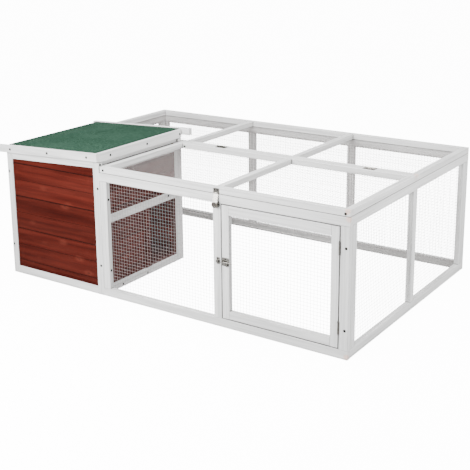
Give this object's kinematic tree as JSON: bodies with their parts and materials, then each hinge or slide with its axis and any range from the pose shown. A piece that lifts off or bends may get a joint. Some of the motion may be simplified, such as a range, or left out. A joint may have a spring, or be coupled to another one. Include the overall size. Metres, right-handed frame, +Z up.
{
  "type": "outdoor rabbit run",
  "caption": "Low outdoor rabbit run of white timber battens and wire mesh, with a red felted-roof hutch at one end, a hinged top lid, a lift-up hutch roof and a front door.",
  "frame": {"origin": "middle of the whole footprint, on the ground", "axes": "+X along the front from the hutch towards the door end, +Y from the front to the back, +Z up"},
  "size_m": [1.6042, 1.061, 0.5813],
  "materials": {
    "white_paint": "satin white paint on softwood",
    "red_stain": "red-brown stained softwood",
    "bare_wood": "bare softwood and plywood",
    "green_felt": "mineral-faced bitumen felt",
    "galvanised_wire": "dull galvanised",
    "zinc_hardware": "bright zinc plate"
  },
  "bodies": {
    "run": {"hutch_front_stiles": "white_paint", "hutch_front_rails": "white_paint", "hutch_front_boards": "red_stain", "hutch_back_stiles": "white_paint", "hutch_back_rails": "white_paint", "hutch_back_boards": "red_stain", "hutch_left_stiles": "white_paint", "hutch_left_rails": "white_paint", "hutch_left_boards": "red_stain", "hutch_right_stiles": "white_paint", "hutch_right_rails": "white_paint", "hutch_right_boards": "red_stain", "doorway_jamb": "red_stain", "hutch_floor": "bare_wood", "floor_runners": "bare_wood", "run_front_rails": "white_paint", "run_front_posts": "white_paint", "run_right_rails": "white_paint", "run_right_posts": "white_paint", "run_back_rails": "white_paint", "run_back_posts": "white_paint", "run_left_rails": "white_paint", "run_left_posts": "white_paint", "rear_top_rails": "white_paint", "rear_top_bars": "white_paint", "front_mesh": "galvanised_wire", "right_mesh": "galvanised_wire", "back_mesh": "galvanised_wire", "left_mesh": "galvanised_wire", "rear_top_mesh": "galvanised_wire", "lid_hinge_fixed": "zinc_hardware", "door_hinge_fixed": "zinc_hardware", "roof_hinge_fixed": "zinc_hardware", "bolt_keeper": "zinc_hardware", "staple_plate": "zinc_hardware"},
    "lid": {"lid_rails": "white_paint", "lid_bars": "white_paint", "lid_mesh": "galvanised_wire", "lid_hinge_moving": "zinc_hardware", "hasp_plate": "zinc_hardware"},
    "hasp_strap": {"hasp_strap": "zinc_hardware"},
    "turn_staple": {"turn_staple": "zinc_hardware"},
    "door": {"door_stiles": "white_paint", "door_rails": "white_paint", "door_mesh": "galvanised_wire", "door_hinge_moving": "zinc_hardware", "bolt_case": "zinc_hardware"},
    "bolt": {"bolt_rod": "zinc_hardware"},
    "roof": {"roof_battens": "white_paint", "roof_panel": "bare_wood", "roof_felt": "green_felt", "fascia_front": "white_paint", "fascia_right": "white_paint", "fascia_back": "white_paint", "roof_hinge_moving": "zinc_hardware"}
  },
  "joints": [
    {"name": "lid_hinge", "type": "hinge", "parent": "run", "child": "lid", "pos_m": [0.26706, 0.0049, 0.5261], "axis": [-1, 0, 0], "range_deg": [0, 93]},
    {"name": "hasp_strap_hinge", "type": "hinge", "parent": "lid", "child": "hasp_strap", "pos_m": [0.27846, -0.5171, 0.5026], "axis": [-1, 0, 0], "range_deg": [-14, 100]},
    {"name": "staple_turn", "type": "hinge", "parent": "run", "child": "turn_staple", "pos_m": [0.27846, -0.5157, 0.4616], "axis": [0, -1, 0], "range_deg": [0, 90]},
    {"name": "door_hinge", "type": "hinge", "parent": "run", "child": "door", "pos_m": [0.76661, -0.5171, 0.25], "axis": [0, 0, 1], "range_deg": [0, 170]},
    {"name": "bolt_slide", "type": "slide", "parent": "door", "child": "bolt", "axis": [-1, 0, 0], "range_m": [0, 0.0145]},
    {"name": "roof_hinge", "type": "hinge", "parent": "run", "child": "roof", "pos_m": [-0.77054, -0.2545, 0.526], "axis": [0, -1, 0], "range_deg": [0, 100]}
  ]
}
